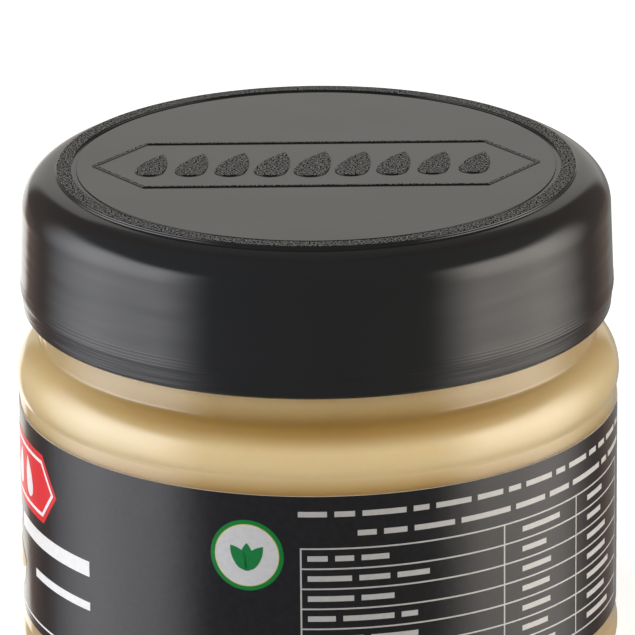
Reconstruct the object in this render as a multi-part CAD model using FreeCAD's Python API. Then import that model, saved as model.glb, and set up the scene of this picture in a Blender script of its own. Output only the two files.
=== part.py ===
"""A squat clear jar of tahini with a black screw lid and a black wrap-around label.

Millimetres, +Z up. The origin is the centre of the jar's standing ring, and +Z is the
jar's axis. The lid's emblem reads from -Y, and the label's overlap is at the back, +Y.
The jar, its filling and its lid are solids of revolution. The outside and the inside of
the jar come from one outline, drawn twice: once at the surface and once a wall inside it.
"""
import FreeCAD, Part
import math
import os

from FreeCAD import Vector

# ---- jar: clear PET, blow moulded -------------------------------------------------
jar_height = 63.3            # standing ring to rim
body_diameter = 75.36        # over the two bulges, above and below the label
wall = 1.0
shoulder_setback = 2.98      # how far the neck stands in from the bulge
shoulder_radius = 5.6        # rounding of the shoulder, from the bulge inwards
neck_fillet = 0.6            # hollow between the shoulder and the neck
neck_show = 3.2              # plain neck seen between the shoulder and the lid
heel_radius = 4.6            # rounding of the heel, from the bulge down to the ring
foot_width = 2.0             # flat of the standing ring
push_up = 1.5                # how far the middle of the base stands clear
label_recess = 0.33          # depth of the label panel under the bulges
recess_radius = 4.2          # rounding from each bulge down to the panel
rim_round = 0.3

# ---- tahini -----------------------------------------------------------------------
headspace = 6.0              # from the tahini's surface up to the rim

# ---- lid: polypropylene, injection moulded ----------------------------------------
lid_height = 18.0            # lower edge to the top of the raised ring
lid_top_thickness = 1.56
neck_clearance = 0.3         # between the neck and the lid's bore
skirt_thickness = 1.95       # at the parting line
parting_height = 2.7         # of the parting line above the lower edge
parting_ledge = 0.08         # how far the band below the line stands in
skirt_lean = 0.38            # how far the skirt leans in from the line to the shoulder
band_taper = 0.2             # how far the band leans in, down to its rounded edge
edge_round = 0.6
bore_chamfer = 0.4
lid_shoulder_radius = 4.5
crown_angle = 12.0           # degrees, slope of the crown between ring and shoulder
shoulder_width = 4.25        # from the raised ring's foot out to the skirt

# ---- raised ring and emblem on the lid --------------------------------------------
ring_width = 1.84
ring_rise = 0.14             # above the panel inside it
ring_drop = 0.46             # above the crown outside it, in two steps
ring_ledge = 0.12            # width of the step between them
groove_width = 0.65          # groove between the panel and the ring
groove_depth = 0.15
emblem_rise = 0.14
frame_margin = 2.6           # from the frame's points to the raised ring
frame_depth = 17.6
frame_point = 6.5            # length of each pointed end
frame_line = 0.38
seed_length = 10.0
seed_width = 4.2
seed_pitch = 5.0
seed_lean = 14.0             # degrees, clockwise seen from above
seed_shrink = 0.04           # by how much each seed is smaller than the one inside it
seed_clearance = 1.2         # between the last seed and the frame's slanted line

# ---- label: printed film ----------------------------------------------------------
label_thickness = 0.15
label_margin = 1.84           # from the ends of the panel to the label's edges
label_overlap = 6.0

# ---- worked out from the sizes above ----------------------------------------------
body_radius = body_diameter / 2
neck_radius = body_radius - shoulder_setback
panel_radius = body_radius - label_recess

rim_z = jar_height
fill_z = rim_z - headspace
lid_under_z = rim_z
panel_top_z = lid_under_z + lid_top_thickness
lid_top_z = panel_top_z + ring_rise
lid_bottom_z = lid_top_z - lid_height

bore_radius = neck_radius + neck_clearance
parting_radius = bore_radius + skirt_thickness
skirt_top_radius = parting_radius - skirt_lean
band_radius = parting_radius - parting_ledge
parting_z = lid_bottom_z + parting_height
ring_foot_radius = skirt_top_radius - shoulder_width
ring_outer_radius = ring_foot_radius - ring_ledge
ring_inner_radius = ring_outer_radius - ring_width

# The shoulder's arc touches the neck's fillet, which starts neck_show below the lid.
fillet_across = shoulder_radius + neck_fillet - shoulder_setback
fillet_drop = math.sqrt((shoulder_radius + neck_fillet) ** 2 - fillet_across ** 2)
fillet_z = lid_bottom_z - neck_show
bulge_z = fillet_z - fillet_drop
recess_angle = math.acos(1 - label_recess / recess_radius)
recess_drop = recess_radius * math.sin(recess_angle)
panel_high_z = bulge_z - recess_drop
panel_low_z = heel_radius + recess_drop


def point(radius, height):
    return Vector(radius, 0, height)


def line(start, end):
    return Part.LineSegment(start, end).toShape()


def arc(centre, radius, first, last):
    """An arc in the XZ plane, between two angles in radians from +X towards +Z."""
    def on_arc(angle):
        return Vector(centre.x + radius * math.cos(angle), 0,
                      centre.z + radius * math.sin(angle))
    return Part.Arc(on_arc(first), on_arc((first + last) / 2), on_arc(last)).toShape()


def chain(edges):
    """The edges joined end to end, with a straight line across each gap."""
    joined = [edges[0]]
    for edge in edges[1:]:
        gap_start = joined[-1].lastVertex(True).Point
        gap_end = edge.firstVertex(True).Point
        if gap_start.distanceToPoint(gap_end) > 1e-6:
            joined.append(line(gap_start, gap_end))
        joined.append(edge)
    return joined


def revolve(edges):
    """The solid that a closed outline sweeps round the jar's axis."""
    face = Part.Face(Part.Wire(chain(edges)))
    return face.revolve(Vector(0, 0, 0), Vector(0, 0, 1), 360)


def jar_outline(depth):
    """The jar's outline from the middle of its base to its fillet, at a depth in the wall."""
    foot_outer = body_radius - heel_radius
    foot_inner = foot_outer - foot_width
    heel = point(foot_outer, heel_radius)
    low = point(body_radius - recess_radius, heel_radius)
    high = point(body_radius - recess_radius, bulge_z)
    shoulder = point(body_radius - shoulder_radius, bulge_z)
    fillet = point(neck_radius + neck_fillet, fillet_z)
    touch = math.atan2(fillet_drop, fillet_across)
    return [
        line(point(0, push_up + depth), point(foot_inner, depth)),
        arc(heel, heel_radius - depth, -math.pi / 2, 0),
        arc(low, recess_radius - depth, 0, recess_angle),
        arc(high, recess_radius - depth, -recess_angle, 0),
        arc(shoulder, shoulder_radius - depth, 0, touch),
        arc(fillet, neck_fillet + depth, math.pi + touch, math.pi),
    ]


def backwards(edges):
    return [edge.reversed() for edge in reversed(edges)]


def make_jar():
    rim_outer = point(neck_radius - rim_round, rim_z - rim_round)
    rim_inner = point(neck_radius - wall + rim_round, rim_z - rim_round)
    rim = [
        arc(rim_outer, rim_round, 0, math.pi / 2),
        arc(rim_inner, rim_round, math.pi / 2, math.pi),
    ]
    middle = line(point(0, push_up + wall), point(0, push_up))
    return revolve(jar_outline(0) + rim + backwards(jar_outline(wall)) + [middle])


def make_tahini():
    surface = line(point(neck_radius - wall, fill_z), point(0, fill_z))
    middle = line(point(0, fill_z), point(0, push_up + wall))
    return revolve(jar_outline(wall) + [surface, middle])


def lid_outline():
    """The lid's section, from the middle of its panel out, down and back up the bore."""
    crown = math.radians(crown_angle)
    crown_start = point(ring_foot_radius, lid_top_z - ring_drop)
    room = skirt_top_radius - ring_foot_radius
    corner_radius = min(lid_shoulder_radius, room / (1 - math.sin(crown)))
    corner_x = skirt_top_radius - corner_radius
    touch_x = corner_x + corner_radius * math.sin(crown)
    touch_z = crown_start.z - (touch_x - ring_foot_radius) * math.tan(crown)
    corner = point(corner_x, touch_z - corner_radius * math.cos(crown))
    edge_x = band_radius - band_taper - edge_round
    edge = point(edge_x, lid_bottom_z + edge_round)
    step_z = lid_top_z - ring_drop / 2
    panel_edge = ring_inner_radius - groove_width
    groove_z = panel_top_z - groove_depth
    return [
        line(point(0, panel_top_z), point(panel_edge, panel_top_z)),
        line(point(panel_edge, groove_z), point(ring_inner_radius, groove_z)),
        line(point(ring_inner_radius, lid_top_z), point(ring_outer_radius, lid_top_z)),
        line(point(ring_outer_radius, step_z), point(ring_foot_radius, step_z)),
        line(point(ring_foot_radius, step_z), crown_start),
        arc(corner, corner_radius, math.pi / 2 - crown, 0),
        line(point(parting_radius, parting_z), point(band_radius, parting_z)),
        arc(edge, edge_round, 0, -math.pi / 2),
        line(point(bore_radius + bore_chamfer, lid_bottom_z),
             point(bore_radius, lid_bottom_z + bore_chamfer)),
        line(point(bore_radius, lid_under_z), point(0, lid_under_z)),
        line(point(0, lid_under_z), point(0, panel_top_z)),
    ]


def raise_from_panel(face):
    """A flat shape stood up from inside the panel, so that it is one piece with it."""
    root = emblem_rise
    face.translate(Vector(0, 0, panel_top_z - root))
    return face.extrude(Vector(0, 0, root + emblem_rise))


def make_frame():
    """A raised line round a long hexagon with pointed ends."""
    tip = ring_inner_radius - frame_margin
    flat = tip - frame_point
    half = frame_depth / 2
    corners = [(tip, 0), (flat, half), (-flat, half), (-tip, 0), (-flat, -half), (flat, -half)]
    loop = [Vector(x, y, 0) for x, y in corners]
    outer = Part.makePolygon(loop + loop[:1])
    inner = outer.makeOffset2D(-frame_line, 2)
    return raise_from_panel(Part.Face(outer).cut(Part.Face(inner)).Faces[0])


def make_seed(centre_x, scale):
    """A raised sesame seed: round at one end, drawn to a point at the other."""
    half = seed_width * scale / 2
    tip_y = seed_length * scale - half
    tip = Vector(0, tip_y, 0)
    side = Vector(half * 0.8, tip_y * 0.5, 0)
    opposite = Vector(-side.x, side.y, 0)
    round_end = Part.Arc(Vector(-half, 0, 0), Vector(0, -half, 0), Vector(half, 0, 0))
    right = Part.Arc(Vector(half, 0, 0), side, tip)
    left = Part.Arc(tip, opposite, Vector(-half, 0, 0))
    face = Part.Face(Part.Wire([edge.toShape() for edge in (round_end, right, left)]))
    face.translate(Vector(0, half - seed_length * scale / 2, 0))
    face.rotate(Vector(0, 0, 0), Vector(0, 0, 1), -seed_lean)
    face.translate(Vector(centre_x, 0, 0))
    return raise_from_panel(face)


def make_seeds():
    """A row of seeds as long as the frame has room for, largest in the middle."""
    half = frame_depth / 2
    slant = frame_point * (seed_length / 2) / half
    reach = ring_inner_radius - frame_margin - slant - seed_clearance - seed_width / 2
    beside = int(reach // seed_pitch)
    seeds = []
    for place in range(-beside, beside + 1):
        scale = (1 - seed_shrink) ** abs(place)
        seeds.append(make_seed(place * seed_pitch, scale))
    return seeds


def make_lid():
    lid = revolve(lid_outline())
    return lid.fuse([make_frame()] + make_seeds()).removeSplitter()


def make_label():
    """A film wrapped once round the panel, its end lapped over its start at the back."""
    low = panel_low_z + label_margin
    height = panel_high_z - label_margin - low
    base = Vector(0, 0, low)
    up = Vector(0, 0, 1)
    outer_radius = panel_radius + label_thickness
    lap_radius = outer_radius + label_thickness
    lap_degrees = math.degrees(label_overlap / outer_radius)
    core = Part.makeCylinder(panel_radius, height, base, up)
    wrap = Part.makeCylinder(outer_radius, height, base, up)
    lap = Part.makeCylinder(lap_radius, height, base, up, lap_degrees)
    lap.rotate(Vector(0, 0, 0), up, 90 - lap_degrees / 2)
    return wrap.fuse(lap).cut(core).removeSplitter()


def export(shape, name):
    solid = shape.Solids[0]
    if len(shape.Solids) != 1 or not solid.isValid():
        raise ValueError(name + " is not one valid solid")
    solid.exportStep(os.path.join("parts", name + ".step"))
    size = solid.optimalBoundingBox()
    print("%-8s %7.2f x %6.2f x %6.2f mm, z %6.2f to %6.2f, %9.1f mm3" % (
        name, size.XLength, size.YLength, size.ZLength, size.ZMin, size.ZMax, solid.Volume))


os.makedirs("parts", exist_ok=True)
export(make_jar(), "jar")
export(make_tahini(), "tahini")
export(make_label(), "label")
export(make_lid(), "lid")
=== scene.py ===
"""A squat jar of tahini: a clear PET jar, a black screw lid and a black wrap-around label.

Metres, +Z up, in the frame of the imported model. Every piece is modelled round the jar's
axis, so most of them are an outline turned on a lathe.
"""

import math
import random

import bmesh
import bpy
from mathutils import Matrix, Vector


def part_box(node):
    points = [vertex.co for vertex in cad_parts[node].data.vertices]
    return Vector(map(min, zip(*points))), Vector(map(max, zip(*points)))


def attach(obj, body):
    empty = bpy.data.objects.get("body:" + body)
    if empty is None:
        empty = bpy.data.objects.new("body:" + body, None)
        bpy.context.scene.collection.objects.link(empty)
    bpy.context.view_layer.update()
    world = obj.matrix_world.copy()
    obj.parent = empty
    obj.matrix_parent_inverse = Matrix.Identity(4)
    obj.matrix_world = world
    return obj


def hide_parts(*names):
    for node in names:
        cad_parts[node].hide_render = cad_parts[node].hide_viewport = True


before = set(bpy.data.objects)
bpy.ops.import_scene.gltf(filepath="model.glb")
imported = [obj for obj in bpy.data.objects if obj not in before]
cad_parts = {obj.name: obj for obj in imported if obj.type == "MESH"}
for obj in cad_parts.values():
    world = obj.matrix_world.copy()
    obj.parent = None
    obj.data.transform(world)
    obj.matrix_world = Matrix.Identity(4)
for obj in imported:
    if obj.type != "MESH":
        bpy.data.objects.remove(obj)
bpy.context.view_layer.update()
MM = 0.001


# ---- Camera ------------------------------------------------------------------------
# A long lens a little above the lid, looking down on it by about nineteen degrees, and
# turned by half a degree.
look_at = Vector((0, 0, 44.7)) * MM
camera_distance = 826 * MM
camera_height = math.radians(19.34)
camera_roll = math.radians(-0.55)

camera_data = bpy.data.cameras.new("camera")
camera_data.sensor_width = 36
camera_data.lens = 374.8
camera = bpy.data.objects.new("camera", camera_data)
bpy.context.scene.collection.objects.link(camera)
back_along_view = Vector((0, -math.cos(camera_height), math.sin(camera_height)))
camera.location = look_at + back_along_view * camera_distance
turned = back_along_view.to_track_quat("Z", "Y").to_matrix().to_4x4()
turned = turned @ Matrix.Rotation(camera_roll, 4, "Z")
camera.rotation_euler = turned.to_euler()
bpy.context.scene.camera = camera


# ---- Floor, world and lamps --------------------------------------------------------
# A white sweep in a plain studio. The gloss sees a grey room with two soft boxes, a lit
# table and a white wall in it, and soft lamps light the whole.
def linear(code):
    """The linear colour of an sRGB hex code, with full alpha."""
    channels = [int(code[i:i + 2], 16) / 255 for i in (1, 3, 5)]
    return [c / 12.92 if c <= 0.04045 else ((c + 0.055) / 1.055) ** 2.4 for c in channels] + [1]


def add_node(tree, kind, inputs=None, **settings):
    """A new node with its settings, and with each input given a value or a link."""
    node = tree.nodes.new(kind)
    for name, value in settings.items():
        setattr(node, name, value)
    for name, value in (inputs or {}).items():
        if isinstance(value, bpy.types.NodeSocket):
            tree.links.new(value, node.inputs[name])
        else:
            node.inputs[name].default_value = value
    return node


def new_material(name):
    made = bpy.data.materials.new(name)
    made.use_nodes = True
    made.node_tree.nodes.clear()
    return made, made.node_tree


world = bpy.data.worlds.new("studio")
world.use_nodes = True
bpy.context.scene.world = world
studio = world.node_tree
studio.nodes.clear()


def glowing(level, edges, radiance):
    """The level with a soft-edged patch added. An edge is an angle, its start and its end."""
    for angle, start, end in edges:
        edge = add_node(studio, "ShaderNodeMapRange", {
            "Value": angle, "From Min": start, "From Max": end},
            interpolation_type="SMOOTHSTEP")
        radiance = add_node(studio, "ShaderNodeMath", {0: edge.outputs[0], 1: radiance},
                            operation="MULTIPLY").outputs[0]
    return add_node(studio, "ShaderNodeMath", {0: level, 1: radiance},
                    operation="ADD").outputs[0]


# The way that a ray goes, as degrees from the front towards the right, and as degrees up.
way = add_node(studio, "ShaderNodeTexCoord")
way = add_node(studio, "ShaderNodeSeparateXYZ", {0: way.outputs["Generated"]})
forward = add_node(studio, "ShaderNodeMath", {0: way.outputs["Y"], 1: -1.0},
                   operation="MULTIPLY")
right = add_node(studio, "ShaderNodeMath", {0: way.outputs["X"], 1: forward.outputs[0]},
                 operation="ARCTAN2")
right = add_node(studio, "ShaderNodeMath", {0: right.outputs[0]}, operation="DEGREES").outputs[0]
left = add_node(studio, "ShaderNodeMath", {0: right, 1: -1.0}, operation="MULTIPLY").outputs[0]
aside = add_node(studio, "ShaderNodeMath", {0: right}, operation="ABSOLUTE").outputs[0]
up = add_node(studio, "ShaderNodeMath", {0: way.outputs["Z"]}, operation="ARCSINE")
up = add_node(studio, "ShaderNodeMath", {0: up.outputs[0]}, operation="DEGREES").outputs[0]

# A soft box stands at each side of the front, over the lit table. Behind the jar are the
# wall, the dim floor under it, and a strip of light low on the left.
box_height = [(up, -46, 8), (up, 33, 17)]
left_box = [(left, 40, 66), (left, 134, 89)] + box_height
right_box = [(right, 42, 68), (right, 130, 92)] + box_height
lit_table = [(aside, 45, 70), (aside, 130, 95), (up, -80, -50), (up, -8, -32)]
wall_behind = [(aside, 153, 160), (up, -10, 0), (up, 37, 33)]
floor_behind = [(aside, 134, 150), (up, -32, -26), (up, 0, -10)]
low_strip = [(left, 150, 158), (up, -28, -24), (up, -2, -8)]
level = 0.17
for patch, radiance in ((left_box, 4.1), (right_box, 4.1), (lit_table, 0.6),
                        (wall_behind, 0.56), (floor_behind, 0.16), (low_strip, 1.1)):
    level = glowing(level, patch, radiance)


def tinted(tint, angle, start, end, code):
    """The tint turned into another between two angles."""
    share = add_node(studio, "ShaderNodeMapRange", {
        "Value": angle, "From Min": start, "From Max": end}, interpolation_type="SMOOTHSTEP")
    return add_node(studio, "ShaderNodeMix", {0: share.outputs[0], 6: tint, 7: linear(code)},
                    data_type="RGBA").outputs[2]


# The light is cool from the left, warm from the right, rosy past the boxes and plain behind.
tint = tinted(linear("#fafaff"), right, -30, 30, "#fff8f0")
tint = tinted(tint, aside, 118, 134, "#f7d6c2")
tint = tinted(tint, aside, 152, 158, "#fffcf6")
rays = add_node(studio, "ShaderNodeLightPath")
seen = add_node(studio, "ShaderNodeMath", {
    0: rays.outputs["Is Camera Ray"], 1: rays.outputs["Is Transmission Ray"]},
    operation="MAXIMUM")
surroundings = add_node(studio, "ShaderNodeBackground", {"Color": tint, "Strength": level})
white = add_node(studio, "ShaderNodeBackground", {"Color": linear("#ffffff"), "Strength": 1.0})
either = add_node(studio, "ShaderNodeMixShader",
                  {0: seen.outputs[0], 1: surroundings.outputs[0], 2: white.outputs[0]})
add_node(studio, "ShaderNodeOutputWorld", {"Surface": either.outputs[0]})


lamp_distance = 1.0


def aim_lamp(name, azimuth, elevation, size, watts):
    """A soft lamp aimed at the jar. Azimuth 0 is in front of it and 90 on its right."""
    data = bpy.data.lights.new(name, "AREA")
    data.shape = "RECTANGLE"
    data.size = size
    data.size_y = size
    data.energy = watts
    lamp = bpy.data.objects.new(name, data)
    bpy.context.scene.collection.objects.link(lamp)
    turn, lift = math.radians(azimuth), math.radians(elevation)
    away = Vector((math.sin(turn) * math.cos(lift), -math.cos(turn) * math.cos(lift),
                   math.sin(lift)))
    lamp.location = look_at + away * lamp_distance
    lamp.rotation_euler = away.to_track_quat("Z", "Y").to_euler()
    lamp.visible_camera = False
    lamp.visible_glossy = False
    lamp.visible_transmission = False


aim_lamp("overhead lamp", azimuth=0, elevation=68, size=0.5, watts=1.4)
aim_lamp("left lamp", azimuth=-105, elevation=25, size=0.4, watts=1.4)
aim_lamp("right lamp", azimuth=105, elevation=25, size=0.4, watts=0.4)

sweep_white, tree = new_material("white sweep")
rays = add_node(tree, "ShaderNodeLightPath")
matt = add_node(tree, "ShaderNodeBsdfDiffuse", {"Color": linear("#f4f4f4")})
glow = add_node(tree, "ShaderNodeEmission", {"Color": linear("#ffffff"), "Strength": 0.62})
glow_seen = add_node(tree, "ShaderNodeMixShader",
                     {0: rays.outputs["Is Camera Ray"], 2: glow.outputs[0]})
both = add_node(tree, "ShaderNodeAddShader", {0: matt.outputs[0], 1: glow_seen.outputs[0]})
add_node(tree, "ShaderNodeOutputMaterial", {"Surface": both.outputs[0]})

bm = bmesh.new()
floor_radius = 3.0
bmesh.ops.create_circle(bm, cap_ends=True, segments=96, radius=floor_radius)
floor_mesh = bpy.data.meshes.new("floor")
bm.to_mesh(floor_mesh)
bm.free()
floor = bpy.data.objects.new("floor", floor_mesh)
bpy.context.scene.collection.objects.link(floor)
floor_mesh.materials.append(sweep_white)
floor.visible_glossy = False
floor.visible_diffuse = False
floor.visible_shadow = False

bpy.context.scene.view_settings.view_transform = "Standard"


# ---- Jar ---------------------------------------------------------------------------
# The real jar is clear PET, blow moulded: an even wall about a millimetre thick, a glossy
# skin, a round shoulder under the neck and a shallow panel that the label lies in.
jar_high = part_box("jar")[1]
lid_low, lid_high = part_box("lid")
body_radius = jar_high.x
wall = 1.0 * MM
neck_radius = body_radius - 2.98 * MM
shoulder_radius = 5.6 * MM
neck_fillet = 0.6 * MM
neck_show = 3.2 * MM
heel_radius = 4.6 * MM
foot_width = 2.0 * MM
push_up = 1.5 * MM
label_recess = 0.33 * MM
recess_radius = 4.2 * MM
rim_round = 0.3 * MM
recess_angle = math.acos(1 - label_recess / recess_radius)
fillet_across = shoulder_radius + neck_fillet - (body_radius - neck_radius)
fillet_drop = math.sqrt((shoulder_radius + neck_fillet) ** 2 - fillet_across ** 2)
fillet_touch = math.atan2(fillet_drop, fillet_across)
fillet_z = lid_low.z - neck_show
bulge_z = fillet_z - fillet_drop
panel_radius = body_radius - label_recess


def begin(bm, radius, height):
    """The first point of an outline, in the XZ plane."""
    return bm.verts.new((radius, 0, height))


def go(bm, last, radius, height, hold=0.08 * MM):
    """A straight run of the outline. Points just inside its ends keep its shading flat,
    unless it is shorter than three times their distance from them."""
    start, end = last.co.copy(), Vector((radius, 0, height))
    run = (end - start).length
    shares = [hold / run, 1 - hold / run, 1] if run > 3 * hold else [1]
    for share in shares:
        last = bmesh.ops.extrude_vert_indiv(bm, verts=[last])["verts"][0]
        last.co = start.lerp(end, share)
    return last


def bend(bm, last, centre_radius, centre_height, angle, steps):
    """A round run of the outline, about a centre. A positive angle turns from +X to +Z."""
    turned = bmesh.ops.spin(bm, geom=[last], cent=(centre_radius, 0, centre_height),
                            axis=(0, -1, 0), angle=angle, steps=steps)
    return next(v for v in turned["geom_last"] if isinstance(v, bmesh.types.BMVert))


def lathe(bm, steps):
    """The outline turned once round the axis, closed, with its faces outwards."""
    bmesh.ops.spin(bm, geom=bm.verts[:] + bm.edges[:], cent=(0, 0, 0), axis=(0, 0, 1),
                   angle=2 * math.pi, steps=steps, use_merge=True)
    bmesh.ops.remove_doubles(bm, verts=bm.verts, dist=0.001 * MM)
    bmesh.ops.recalc_face_normals(bm, faces=bm.faces)


def finish_piece(bm, name, material, cad_node=None, smooth=True):
    """The mesh as a piece that rides with the jar."""
    mesh = bpy.data.meshes.new(name)
    for face in bm.faces:
        face.smooth = smooth
    bm.to_mesh(mesh)
    bm.free()
    mesh.materials.append(material)
    piece = bpy.data.objects.new(name, mesh)
    bpy.context.scene.collection.objects.link(piece)
    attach(piece, "root")
    if cad_node:
        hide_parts(cad_node)
    return piece


def jar_outline(bm, last, depth):
    """The outline from the foot to the neck's fillet, at a depth inside the wall."""
    recess_arc = recess_radius - depth
    panel = body_radius - recess_radius + recess_arc * math.cos(recess_angle)
    last = go(bm, last, body_radius - heel_radius, depth)
    last = bend(bm, last, body_radius - heel_radius, heel_radius, math.pi / 2, 14)
    last = bend(bm, last, body_radius - recess_radius, heel_radius, recess_angle, 6)
    last = go(bm, last, panel, bulge_z - recess_arc * math.sin(recess_angle))
    last = bend(bm, last, body_radius - recess_radius, bulge_z, recess_angle, 6)
    last = bend(bm, last, body_radius - shoulder_radius, bulge_z, fillet_touch, 16)
    return bend(bm, last, neck_radius + neck_fillet, fillet_z, -fillet_touch, 12)


bm = bmesh.new()
foot_inner = body_radius - heel_radius - foot_width
last = begin(bm, 0, push_up)
last = go(bm, last, foot_inner, 0)
last = jar_outline(bm, last, 0)
last = go(bm, last, neck_radius, jar_high.z - rim_round)
last = bend(bm, last, neck_radius - rim_round, jar_high.z - rim_round, math.pi / 2, 5)
last = go(bm, last, neck_radius - wall + rim_round, jar_high.z)
inner = begin(bm, 0, push_up + wall)
inner = go(bm, inner, foot_inner, wall)
inner = jar_outline(bm, inner, wall)
inner = go(bm, inner, neck_radius - wall, jar_high.z - rim_round)
inner = bend(bm, inner, neck_radius - wall + rim_round, jar_high.z - rim_round, -math.pi / 2, 5)
bmesh.ops.remove_doubles(bm, verts=bm.verts, dist=0.001 * MM)
lathe(bm, 288)

# Clear PET, with a refractive index of 1.57: a polished skin with a patchy haze, and a
# slow waviness from blowing, which bends the edges of its highlights.
pet, tree = new_material("clear PET")
rays = add_node(tree, "ShaderNodeLightPath")
place = add_node(tree, "ShaderNodeTexCoord")
blown = add_node(tree, "ShaderNodeTexNoise", {
    "Vector": place.outputs["Object"], "Scale": 75.0, "Detail": 2.0})
hazy = add_node(tree, "ShaderNodeMapRange", {
    "Value": blown.outputs["Fac"], "From Min": 0.3, "From Max": 0.7,
    "To Min": 0.02, "To Max": 0.05})
blown_wave = add_node(tree, "ShaderNodeBump", {
    "Height": blown.outputs["Fac"], "Strength": 1.0, "Distance": 0.1 * MM})
clear = add_node(tree, "ShaderNodeBsdfPrincipled", {
    "Base Color": linear("#fffdf8"), "Roughness": hazy.outputs[0], "IOR": 1.57,
    "Transmission Weight": 1.0, "Normal": blown_wave.outputs[0]})
past = add_node(tree, "ShaderNodeBsdfTransparent", {"Color": linear("#fbfaf6")})
through = add_node(tree, "ShaderNodeMixShader", {
    0: rays.outputs["Is Shadow Ray"], 1: clear.outputs[0], 2: past.outputs[0]})
add_node(tree, "ShaderNodeOutputMaterial", {"Surface": through.outputs[0]})
finish_piece(bm, "clear_jar", pet, "jar")


# ---- Tahini ------------------------------------------------------------------------
# Sesame ground to a smooth paste. It fills the jar to the neck, wets the wall all over
# and shows through it with no gap, so it reaches a tenth of a millimetre into the wall.
fill_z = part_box("tahini")[1].z
label_edge_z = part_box("label")[1].z
into_wall = 0.1 * MM
bm = bmesh.new()
last = begin(bm, 0, push_up + wall - into_wall)
last = go(bm, last, foot_inner, wall - into_wall)
last = jar_outline(bm, last, wall - into_wall)
last = go(bm, last, neck_radius - wall + into_wall, fill_z)
last = go(bm, last, 0, fill_z)
lathe(bm, 256)

# The paste scatters light a millimetre or two deep. Its colour has painted shade in it:
# darker towards the label's top edge, darkest in the hollow at the neck's root under the
# lid, and a lighter painted shade on the neck above that. The painted shade is full at the
# front and weaker towards the sides and back.
# Each shade takes over from the one before it between two heights.
paste, tree = new_material("sesame paste")
place = add_node(tree, "ShaderNodeTexCoord")
cloud = add_node(tree, "ShaderNodeTexNoise", {
    "Scale": 90.0, "Detail": 3.0, "Vector": place.outputs["Object"]})
height = add_node(tree, "ShaderNodeSeparateXYZ", {0: place.outputs["Object"]})
# The first shade is the paste's own colour; the others are painted shade.
paste_colour_and_painted_shade = ((None, None, "#e2cfa2", "#e6d6aa"),
                (bulge_z - 1.0 * MM, label_edge_z, "#c6a566", "#cbac6e"),
                (bulge_z + 1.4 * MM, fillet_z - 1.7 * MM, "#ae8d45", "#b6954c"),
                (fillet_z - 0.8 * MM, fillet_z + 2.2 * MM, "#dac493", "#e0cc9c"))
# Weight of the painted shade: full at the front, where little light reaches the hollow, and less
# towards the sides.
painted_shade_weight = add_node(tree, "ShaderNodeMapRange", {
    "Value": height.outputs["Y"], "From Min": -35.5 * MM, "From Max": -14 * MM,
    "To Min": 1.0, "To Max": 0.42}, interpolation_type="SMOOTHSTEP")
shade = None
for start, end, dull, fair in paste_colour_and_painted_shade:
    mottled = add_node(tree, "ShaderNodeMix", {
        0: cloud.outputs["Fac"], 6: linear(dull), 7: linear(fair)}, data_type="RGBA").outputs[2]
    if shade:
        share = add_node(tree, "ShaderNodeMapRange", {
            "Value": height.outputs["Z"], "From Min": start, "From Max": end},
            interpolation_type="SMOOTHSTEP")
        share = add_node(tree, "ShaderNodeMath", {0: share.outputs[0], 1: painted_shade_weight.outputs[0]},
                         operation="MULTIPLY")
        shade = add_node(tree, "ShaderNodeMix", {0: share.outputs[0], 6: shade, 7: mottled},
                         data_type="RGBA").outputs[2]
    else:
        shade = mottled
cream = add_node(tree, "ShaderNodeBsdfPrincipled", {
    "Base Color": shade, "Roughness": 0.5, "Subsurface Weight": 1.0,
    "Subsurface Scale": 1.6 * MM, "Subsurface Radius": (1.0, 0.7, 0.35)})
add_node(tree, "ShaderNodeOutputMaterial", {"Surface": cream.outputs[0]})
finish_piece(bm, "tahini_paste", paste, "tahini")


# ---- Label -------------------------------------------------------------------------
# A printed plastic film, wrapped once round the panel with its end lapped over its start
# at the back. It is printed black all over, under a satin varnish.
label_low, label_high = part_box("label")
film = 0.15 * MM
film_radius = panel_radius + film
lap_width = 6.0 * MM
lap_rise = 2.0 * MM
whole_turn = 2 * math.pi + lap_width / film_radius
rings = 372

bm = bmesh.new()
last = first = begin(bm, panel_radius, label_low.z)
last = go(bm, last, film_radius, label_low.z, hold=0.02 * MM)
last = go(bm, last, film_radius, label_high.z)
last = go(bm, last, panel_radius, label_high.z, hold=0.02 * MM)
bm.edges.new((last, first))
section = len(bm.verts)
start_angle = math.pi / 2 - lap_width / film_radius / 2
bmesh.ops.rotate(bm, verts=bm.verts, cent=(0, 0, 0), matrix=Matrix.Rotation(start_angle, 3, "Z"))
bmesh.ops.spin(bm, geom=bm.verts[:] + bm.edges[:], cent=(0, 0, 0), axis=(0, 0, 1),
               angle=whole_turn, steps=rings)
bm.verts.index_update()
for vert in bm.verts:
    past_start = (vert.index // section / rings * whole_turn - 2 * math.pi) * film_radius
    share = min(1, max(0, past_start / lap_rise + 1))
    outwards = Vector((vert.co.x, vert.co.y, 0)).normalized()
    vert.co += outwards * film * share * share * (3 - 2 * share)
bmesh.ops.holes_fill(bm, edges=[edge for edge in bm.edges if edge.is_boundary])
bmesh.ops.recalc_face_normals(bm, faces=bm.faces)
unprinted = 1
for face in bm.faces:
    outwards = face.calc_center_median().xy.normalized()
    if face.normal.xy.dot(outwards) < 0.5:
        face.material_index = unprinted

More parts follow.
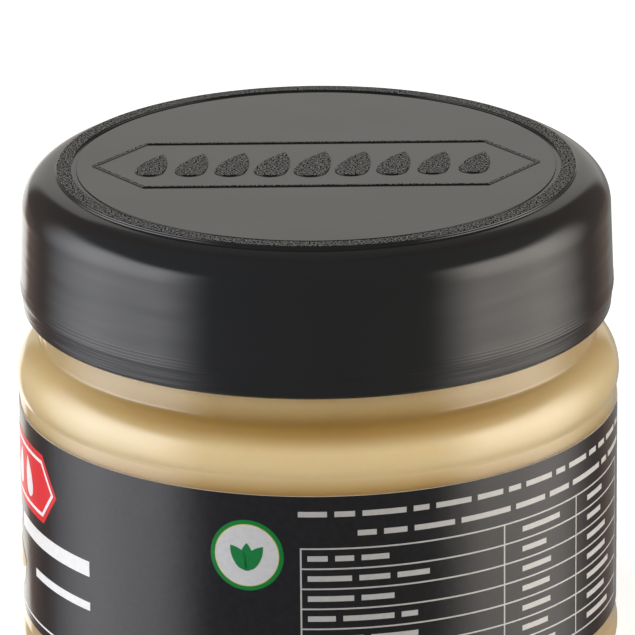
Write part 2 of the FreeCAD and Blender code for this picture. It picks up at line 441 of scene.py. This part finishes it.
# Satin varnish over black ink, with a fine tooth. The film is a little wavy, as a label on
# a soft jar is.
black_film, tree = new_material("varnished black ink on film")
place = add_node(tree, "ShaderNodeTexCoord")
wave = add_node(tree, "ShaderNodeTexNoise", {
    "Vector": place.outputs["Object"], "Scale": 110.0, "Detail": 2.0})
wave_bump = add_node(tree, "ShaderNodeBump", {
    "Height": wave.outputs["Fac"], "Strength": 1.0, "Distance": 0.06 * MM})
tooth = add_node(tree, "ShaderNodeTexNoise", {
    "Vector": place.outputs["Object"], "Scale": 1300.0, "Detail": 3.0})
tooth_bump = add_node(tree, "ShaderNodeBump", {
    "Height": tooth.outputs["Fac"], "Strength": 1.0, "Distance": 0.012 * MM,
    "Normal": wave_bump.outputs[0]})
black_ink = add_node(tree, "ShaderNodeMix", {
    0: tooth.outputs["Fac"], 6: linear("#1c1c1e"), 7: linear("#2b2b2e")}, data_type="RGBA")
patchy = add_node(tree, "ShaderNodeMapRange", {
    "Value": wave.outputs["Fac"], "From Min": 0.3, "From Max": 0.7,
    "To Min": 0.13, "To Max": 0.2})
satin = add_node(tree, "ShaderNodeBsdfPrincipled", {
    "Base Color": black_ink.outputs[2], "Roughness": patchy.outputs[0], "IOR": 1.46,
    "Normal": tooth_bump.outputs[0]})
add_node(tree, "ShaderNodeOutputMaterial", {"Surface": satin.outputs[0]})
label = finish_piece(bm, "label_film", black_film, "label")

# The film itself is white, which shows as a thin line along its cut edges.
white_film, tree = new_material("bare white film")
place = add_node(tree, "ShaderNodeTexCoord")
milky = add_node(tree, "ShaderNodeTexNoise", {
    "Vector": place.outputs["Object"], "Scale": 300.0, "Detail": 2.0})
film_white = add_node(tree, "ShaderNodeMix", {
    0: milky.outputs["Fac"], 6: linear("#e4e1db"), 7: linear("#f2f0ec")}, data_type="RGBA")
back = add_node(tree, "ShaderNodeBsdfPrincipled", {
    "Base Color": film_white.outputs[2], "Roughness": 0.45, "IOR": 1.5})
add_node(tree, "ShaderNodeOutputMaterial", {"Surface": back.outputs[0]})
label.data.materials.append(white_film)


# ---- Label print -------------------------------------------------------------------
# Screen-printed inks on the black film: a red panel with a row of seeds, a round badge,
# and plain bars and rules where the small print stands.
ink = 0.02 * MM
slice_width = 1.5 * MM


def circle_centre(first, second, third):
    """The centre of the circle through three points of the XY plane."""
    a, b, c = (complex(point.x, point.y) for point in (first, second, third))
    ratio = (c - a) / (b - a)
    centre = a - (a - b) * (ratio - abs(ratio) ** 2) / (2j * ratio.imag)
    return Vector((centre.real, centre.imag, 0))


def sweep(bm, last, centre, angle, steps):
    """A round run of an outline in the XY plane."""
    turned = bmesh.ops.spin(bm, geom=[last], cent=centre, axis=(0, 0, 1), angle=angle,
                            steps=steps)
    return next(v for v in turned["geom_last"] if isinstance(v, bmesh.types.BMVert))


def seed(bm, x, y, length, width, lean):
    """A flat sesame seed, round at its lower end and drawn to a point at its upper."""
    half = width / 2
    tip = Vector((0, length - half, 0))
    side = Vector((half * 0.8, tip.y / 2, 0))
    right = Vector((half, 0, 0))
    centre = circle_centre(right, side, tip)
    angle = abs((right - centre).xy.angle_signed((tip - centre).xy))
    before = set(bm.verts)
    last = bm.verts.new((-half, 0, 0))
    last = sweep(bm, last, (0, 0, 0), math.pi, 14)
    last = sweep(bm, last, centre, angle, 8)
    sweep(bm, last, Vector((-centre.x, centre.y, 0)), angle, 8)
    made = [vert for vert in bm.verts if vert not in before]
    bmesh.ops.remove_doubles(bm, verts=made, dist=0.01 * MM)
    made = [vert for vert in bm.verts if vert not in before]
    edges = {edge for vert in made for edge in vert.link_edges}
    face = bmesh.ops.contextual_create(bm, geom=list(edges))["faces"][0]
    face.normal_update()
    bmesh.ops.translate(bm, verts=made, vec=(0, half - length / 2, 0))
    bmesh.ops.rotate(bm, verts=made, cent=(0, 0, 0), matrix=Matrix.Rotation(lean, 3, "Z"))
    bmesh.ops.translate(bm, verts=made, vec=(x, y, 0))
    return face


def bar(bm, left, right, low, high):
    """A flat bar, as wide and high as its edges say."""
    middle = Matrix.Translation(((left + right) / 2, (low + high) / 2, 0))
    size = Matrix.Diagonal((right - left, high - low, 1, 1))
    bmesh.ops.create_grid(bm, x_segments=1, y_segments=1, size=0.5, matrix=middle @ size)


def hexagon(bm, x, y, width, height, point):
    """A flat hexagon, long in X, with a point at each end."""
    half_w, half_h = width / 2, height / 2
    corners = [(half_w, 0), (half_w - point, half_h), (point - half_w, half_h),
               (-half_w, 0), (point - half_w, -half_h), (half_w - point, -half_h)]
    face = bm.faces.new([bm.verts.new((x + a, y + b, 0)) for a, b in corners])
    face.normal_update()
    return face


def ringed(bm, face, line):
    """The face's border alone, as wide as the line."""
    bmesh.ops.inset_region(bm, faces=[face], thickness=line, use_boundary=True,
                           use_even_offset=True)
    bmesh.ops.delete(bm, geom=[face], context="FACES")


def stand_up(bm, low, high):
    """The flat shapes given thickness, from a low level to a high one. Returns their tops."""
    for face in bm.faces:
        if face.normal.z < 0:
            face.normal_flip()
    bottom = bm.verts[:]
    raised = bmesh.ops.extrude_face_region(bm, geom=bm.faces[:], use_keep_orig=True)["geom"]
    top = [vert for vert in raised if isinstance(vert, bmesh.types.BMVert)]
    bmesh.ops.translate(bm, verts=bottom, vec=(0, 0, low))
    bmesh.ops.translate(bm, verts=top, vec=(0, 0, high))
    return [face for face in raised if isinstance(face, bmesh.types.BMFace)]


def lay_on_film(bm, name, code, layer=1):
    """The flat print as a piece, thickened and bent round the film. Each layer of ink lies
    over the one below it, and is mottled where it lies thin over the black."""
    reach = max(abs(vert.co.x) for vert in bm.verts)
    for number in range(-int(reach / slice_width), int(reach / slice_width) + 1):
        bmesh.ops.bisect_plane(bm, geom=bm.verts[:] + bm.edges[:] + bm.faces[:],
                               plane_co=(number * slice_width, 0, 0), plane_no=(1, 0, 0))
    stand_up(bm, -ink / 2, ink * layer)
    for vert in bm.verts:
        angle = vert.co.x / film_radius - math.pi / 2
        radius = film_radius + vert.co.z
        vert.co = (radius * math.cos(angle), radius * math.sin(angle), vert.co.y)
    bmesh.ops.recalc_face_normals(bm, faces=bm.faces)
    material, tree = new_material(name.replace("_", " ") + " ink")
    place = add_node(tree, "ShaderNodeTexCoord")
    laid = add_node(tree, "ShaderNodeTexNoise", {
        "Vector": place.outputs["Object"], "Scale": 1500.0, "Detail": 3.0})
    thin = add_node(tree, "ShaderNodeMapRange", {
        "Value": laid.outputs["Fac"], "From Min": 0.4, "From Max": 0.75, "To Max": 0.09})
    colour = add_node(tree, "ShaderNodeMix", {
        0: thin.outputs[0], 6: linear(code), 7: linear("#212123")}, data_type="RGBA")
    uneven = add_node(tree, "ShaderNodeBump", {
        "Height": laid.outputs["Fac"], "Strength": 1.0, "Distance": 0.01 * MM})
    coat = add_node(tree, "ShaderNodeBsdfPrincipled", {
        "Base Color": colour.outputs[2], "Roughness": 0.3, "IOR": 1.5,
        "Normal": uneven.outputs[0]})
    add_node(tree, "ShaderNodeOutputMaterial", {"Surface": coat.outputs[0]})
    return finish_piece(bm, name, material, smooth=False)


# The red panel stands at the top of the main face, which is a quarter turn to the left.
panel_x, panel_y = -62.0 * MM, 28.0 * MM
panel_width, panel_height, panel_point = 46.0 * MM, 9.0 * MM, 3.8 * MM
line_inset, line_width = 0.8 * MM, 0.45 * MM
panel_seeds_beside, panel_seed_pitch = 3, 4.6 * MM
bm = bmesh.new()
hexagon(bm, panel_x, panel_y, panel_width, panel_height, panel_point)
lay_on_film(bm, "print_red_panel", "#e2202c")

bm = bmesh.new()
edge_line = hexagon(bm, panel_x, panel_y, panel_width - 2 * line_inset,
                    panel_height - 2 * line_inset, panel_point * 0.85)
ringed(bm, edge_line, line_width)
for number in range(-panel_seeds_beside, panel_seeds_beside + 1):
    seed(bm, panel_x + number * panel_seed_pitch, panel_y, 5.2 * MM, 2.7 * MM,
         math.radians(14 if number % 2 else -14))
lay_on_film(bm, "print_panel_white", "#f4f2f0", layer=2)

# Wide bars stand in for the title, in a tall row and a low one, over a long thin rule.
bm = bmesh.new()
for low, high, spans in ((19.9, 21.9, ((-92, -73), (-71.5, -54), (-52.5, -32))),
                         (15.4, 16.5, ((-92, -83), (-82, -74), (-46, -32))),
                         (9.2, 9.45, ((-92, -32),))):
    for start, end in spans:
        bar(bm, start * MM, end * MM, low * MM, high * MM)
lay_on_film(bm, "print_title_bars", "#f0f0ee")

# A bowl stands on the rule: the lower half of an oval, with a flat oval of paste at its rim.
bowl_x, bowl_rim, bowl_radius = -60.0 * MM, 15.0 * MM, 8.4 * MM
bowl = Matrix.Translation((bowl_x, bowl_rim, 0))
bm = bmesh.new()
bmesh.ops.create_circle(bm, cap_ends=True, segments=64, radius=bowl_radius,
                        matrix=bowl @ Matrix.Diagonal((1, 0.62, 1, 1)))
bmesh.ops.bisect_plane(bm, geom=bm.verts[:] + bm.edges[:] + bm.faces[:],
                       plane_co=(0, bowl_rim, 0), plane_no=(0, 1, 0), clear_outer=True)
lay_on_film(bm, "print_bowl", "#e9e6e0")

bm = bmesh.new()
bmesh.ops.create_circle(bm, cap_ends=True, segments=64, radius=bowl_radius,
                        matrix=bowl @ Matrix.Diagonal((1, 0.2, 1, 1)))
lay_on_film(bm, "print_bowl_paste", "#d2aa62", layer=2)

# The badge is a pale disc in a green ring with a thin yellow line inside it. Three green
# leaves spread on it, each the shape of a seed.
badge_x, badge_y = -8.9 * MM, 27.2 * MM
badge = Matrix.Translation((badge_x, badge_y, 0))
for name, code, radius, layer in (("print_badge_green", "#0c8a3e", 4.55, 1),
                                  ("print_badge_yellow", "#d8d84a", 4.02, 2),
                                  ("print_badge_pale", "#e6e6e6", 3.93, 3)):
    bm = bmesh.new()
    bmesh.ops.create_circle(bm, cap_ends=True, segments=64, radius=radius * MM, matrix=badge)
    lay_on_film(bm, name, code, layer=layer)
bm = bmesh.new()
for lean in (math.radians(-38), 0, math.radians(38)):
    seed(bm, badge_x - math.sin(lean) * 1.5 * MM, badge_y - 0.2 * MM, 3.6 * MM, 1.9 * MM, lean)
lay_on_film(bm, "print_badge_seeds", "#178a46", layer=4)

# Bars as long as words stand in for the small print, and a ruled table holds shorter ones.
words = random.Random(7)
bar_height = 0.7 * MM
word_gap = 0.9 * MM
line_pitch = 2.5 * MM
first_line = 32.4 * MM


def word_bars(bm, left, right, baseline):
    """A line of bars as long as words, with spaces between them."""
    while left < right - 2 * MM:
        length = min(words.uniform(1.6, 7.5) * MM, right - left)
        bar(bm, left, left + length, baseline, baseline + bar_height)
        left += length + word_gap


bm = bmesh.new()
word_bars(bm, -2.6 * MM, 54 * MM, first_line)
word_bars(bm, 4.6 * MM, 54 * MM, first_line - line_pitch)
table_top, row_height, rows, rule = 28.4 * MM, 2.6 * MM, 7, 0.2 * MM
columns = [-2.4 * MM, 24.0 * MM, 37.4 * MM, 52.0 * MM]
for number in range(rows + 1):
    height = table_top - number * row_height
    bar(bm, columns[0], columns[-1], height - rule, height)
for column in columns:
    bar(bm, column, column + rule, table_top - rows * row_height, table_top)
for number in range(rows):
    baseline = table_top - (number + 0.66) * row_height
    word_bars(bm, columns[0] + word_gap, columns[0] + words.uniform(9, 21) * MM, baseline)
    for column in columns[1:-1]:
        start = column + 3.0 * MM
        length = words.uniform(4.0, 7.5) * MM
        bar(bm, start, start + length, baseline, baseline + bar_height)

# A column of more small print runs on round the side, with every fourth line cut short.
for number in range(9):
    line_end = 88 * MM if number % 4 == 3 else 106 * MM
    word_bars(bm, 58 * MM, line_end, first_line - number * line_pitch)
lay_on_film(bm, "print_small_bars", "#cfcfcd")


# ---- Lid ---------------------------------------------------------------------------
# Black polypropylene, injection moulded and glossy. The skirt leans out down to the
# mould's parting line, with three fine ridges over it, and the band below it leans back in.
# A narrow groove and a raised ring run round the flat panel on top.
lid_radius = lid_high.x
top_z = lid_high.z
bottom_z = lid_low.z
ring_rise = 0.14 * MM
ring_drop = 0.46 * MM
ring_ledge = 0.12 * MM
ring_width = 1.84 * MM
groove_width = 0.65 * MM
groove_depth = 0.15 * MM
shoulder_width = 4.25 * MM
skirt_lean = 0.38 * MM
crown = math.radians(12)
corner_radius = 4.5 * MM
parting_z = bottom_z + 2.7 * MM
parting_ledge = 0.08 * MM
ridge_pitch = 0.42 * MM
ridge_width = 0.12 * MM
ridge_rise = 0.035 * MM
band_taper = 0.2 * MM
edge_round = 0.6 * MM
neck_clearance = 0.3 * MM
bore_chamfer = 0.4 * MM
soft = 0.1 * MM
bore_radius = neck_radius + neck_clearance
skirt_top = lid_radius - skirt_lean
ring_foot = skirt_top - shoulder_width
ring_outer = ring_foot - ring_ledge
ring_inner = ring_outer - ring_width
panel_z = top_z - ring_rise
step_z = top_z - ring_drop / 2
foot_z = top_z - ring_drop
corner_r = skirt_top - corner_radius
touch_r = corner_r + corner_radius * math.sin(crown)
touch_z = foot_z - (touch_r - ring_foot) * math.tan(crown)
corner_z = touch_z - corner_radius * math.cos(crown)
quarter = math.pi / 2

bm = bmesh.new()
last = begin(bm, 0, panel_z)
panel_edge = ring_inner - groove_width
last = go(bm, last, panel_edge - soft / 2, panel_z)
last = bend(bm, last, panel_edge - soft / 2, panel_z - soft / 2, -quarter, 3)
last = go(bm, last, panel_edge, panel_z - groove_depth + soft)
last = bend(bm, last, panel_edge + soft, panel_z - groove_depth + soft, quarter, 3)
last = go(bm, last, ring_inner - soft, panel_z - groove_depth)
last = bend(bm, last, ring_inner - soft, panel_z - groove_depth + soft, quarter, 3)
last = go(bm, last, ring_inner, top_z - soft / 2)
last = bend(bm, last, ring_inner + soft / 2, top_z - soft / 2, -quarter, 3)
last = go(bm, last, ring_outer - soft, top_z)
last = bend(bm, last, ring_outer - soft, top_z - soft, -quarter, 4)
last = go(bm, last, ring_outer, step_z)
last = go(bm, last, ring_foot - soft / 2, step_z, hold=0.02 * MM)
last = bend(bm, last, ring_foot - soft / 2, step_z - soft / 2, -quarter, 3)
last = go(bm, last, ring_foot, foot_z)
last = go(bm, last, touch_r, touch_z)
last = bend(bm, last, corner_r, corner_z, crown - quarter, 24)
for number in (3, 2, 1):
    ridge_z = parting_z + number * ridge_pitch
    skirt_r = lid_radius - skirt_lean * (ridge_z - parting_z) / (corner_z - parting_z)
    last = go(bm, last, skirt_r, ridge_z + ridge_width / 2)
    last = go(bm, last, skirt_r + ridge_rise, ridge_z, hold=math.inf)
    last = go(bm, last, skirt_r, ridge_z - ridge_width / 2, hold=math.inf)
last = go(bm, last, lid_radius, parting_z)
last = go(bm, last, lid_radius - parting_ledge, parting_z, hold=0.02 * MM)
edge_r = lid_radius - parting_ledge - band_taper
last = go(bm, last, edge_r, bottom_z + edge_round)
last = bend(bm, last, edge_r - edge_round, bottom_z + edge_round, -quarter, 8)
last = go(bm, last, bore_radius + bore_chamfer, bottom_z)
last = go(bm, last, bore_radius, bottom_z + bore_chamfer)
last = go(bm, last, bore_radius, jar_high.z)
last = go(bm, last, 0, jar_high.z)
lathe(bm, 360)
grained = 1
for face in bm.faces:
    if face.calc_center_median().z > top_z - 0.02 * MM:
        face.material_index = grained

# Gloss black, a little wavy from shrinking in the mould, with fine marks from the lathe
# on the band that the mould's lower half shaped.
black_lid, tree = new_material("glossy black polypropylene")
place = add_node(tree, "ShaderNodeTexCoord")
stretched = add_node(tree, "ShaderNodeMapping", {
    "Vector": place.outputs["Object"], "Scale": (28, 28, 190)})
waves = add_node(tree, "ShaderNodeTexNoise", {
    "Vector": stretched.outputs[0], "Scale": 1.0, "Detail": 2.0})
wavy = add_node(tree, "ShaderNodeBump", {
    "Height": waves.outputs["Fac"], "Strength": 1.0, "Distance": 0.28 * MM})
drawn = add_node(tree, "ShaderNodeMapping", {
    "Vector": place.outputs["Object"], "Scale": (50, 50, 3400)})
streaks = add_node(tree, "ShaderNodeTexNoise", {
    "Vector": drawn.outputs[0], "Scale": 1.0, "Detail": 3.0})
height = add_node(tree, "ShaderNodeSeparateXYZ", {0: place.outputs["Object"]})
on_band = add_node(tree, "ShaderNodeMapRange", {
    "Value": height.outputs["Z"], "From Min": parting_z + 1.2 * MM,
    "From Max": parting_z - 0.1 * MM})
turned_marks = add_node(tree, "ShaderNodeBump", {
    "Height": streaks.outputs["Fac"], "Strength": on_band.outputs[0],
    "Distance": 0.09 * MM, "Normal": wavy.outputs[0]})
haze = add_node(tree, "ShaderNodeTexNoise", {
    "Vector": place.outputs["Object"], "Scale": 38.0, "Detail": 2.0})
shade = add_node(tree, "ShaderNodeMix", {
    0: haze.outputs["Fac"], 6: linear("#202122"), 7: linear("#2a2b2c")},
    data_type="RGBA").outputs[2]
gloss = add_node(tree, "ShaderNodeBsdfPrincipled", {
    "Base Color": shade, "Roughness": 0.12, "IOR": 1.49,
    "Normal": turned_marks.outputs[0]})
add_node(tree, "ShaderNodeOutputMaterial", {"Surface": gloss.outputs[0]})

# The mould is spark-eroded where the ring and the emblem form, and they come out grained.
# Each grain is about a fifth of a millimetre. Its colour is painted dark in the pits and
# lighter on the crests, as painted shade and highlight, and the crests also reflect more.
grain, tree = new_material("spark-eroded black polypropylene")
place = add_node(tree, "ShaderNodeTexCoord")
grit = add_node(tree, "ShaderNodeTexNoise", {
    "Vector": place.outputs["Object"], "Scale": 4200.0, "Detail": 1.0, "Roughness": 0.5})
crest = add_node(tree, "ShaderNodeMapRange", {
    "Value": grit.outputs["Fac"], "From Min": 0.45, "From Max": 0.66})
pits = add_node(tree, "ShaderNodeBump", {
    "Height": grit.outputs["Fac"], "Strength": 1.0, "Distance": 0.12 * MM})
# Painted shade in the grain's pits and a painted highlight on its crests.
grain_painted_shade = add_node(tree, "ShaderNodeMix", {
    0: crest.outputs[0], 6: linear("#101010"), 7: linear("#383836")}, data_type="RGBA")
rough = add_node(tree, "ShaderNodeBsdfPrincipled", {
    "Base Color": grain_painted_shade.outputs[2], "Roughness": 0.2, "IOR": 1.49,
    "Specular IOR Level": crest.outputs[0], "Normal": pits.outputs[0]})
add_node(tree, "ShaderNodeOutputMaterial", {"Surface": rough.outputs[0]})
lid = finish_piece(bm, "screw_lid", black_lid, "lid")
lid.data.materials.append(grain)


# ---- Lid emblem --------------------------------------------------------------------
# A row of sesame seeds in a long frame, raised from the lid's panel in the same mould.
# Their tops are grained as the ring is, and their edges are softly rounded.
emblem_rise = 0.14 * MM
emblem_soft = 0.05 * MM
frame_margin = 2.6 * MM
frame_depth = 17.6 * MM
frame_point = 6.5 * MM
frame_line = 0.38 * MM
seed_length = 10.0 * MM
seed_width = 4.2 * MM
seed_pitch = 5.0 * MM
seed_lean = math.radians(14)
seed_shrink = 0.04
seeds_beside = 4

bm = bmesh.new()
border = hexagon(bm, 0, 0, (ring_inner - frame_margin) * 2, frame_depth, frame_point)
ringed(bm, border, frame_line)
for number in range(-seeds_beside, seeds_beside + 1):
    scale = (1 - seed_shrink) ** abs(number)
    seed(bm, number * seed_pitch, 0, seed_length * scale, seed_width * scale, -seed_lean)
bmesh.ops.recalc_face_normals(bm, faces=bm.faces)
top_faces = stand_up(bm, panel_z - emblem_soft, panel_z + emblem_rise)
bmesh.ops.recalc_face_normals(bm, faces=bm.faces)
for face in top_faces:
    face.material_index = grained
rims = [edge for face in top_faces for edge in face.edges
        if any(other not in top_faces for other in edge.link_faces)]
bmesh.ops.bevel(bm, geom=rims, offset=emblem_soft, segments=2, profile=0.5, affect="EDGES",
                material=-1)
emblem = finish_piece(bm, "lid_emblem", black_lid, smooth=False)
emblem.data.materials.append(grain)


def corners(bounds):
    return [[float(value) for value in corner] for corner in bounds]
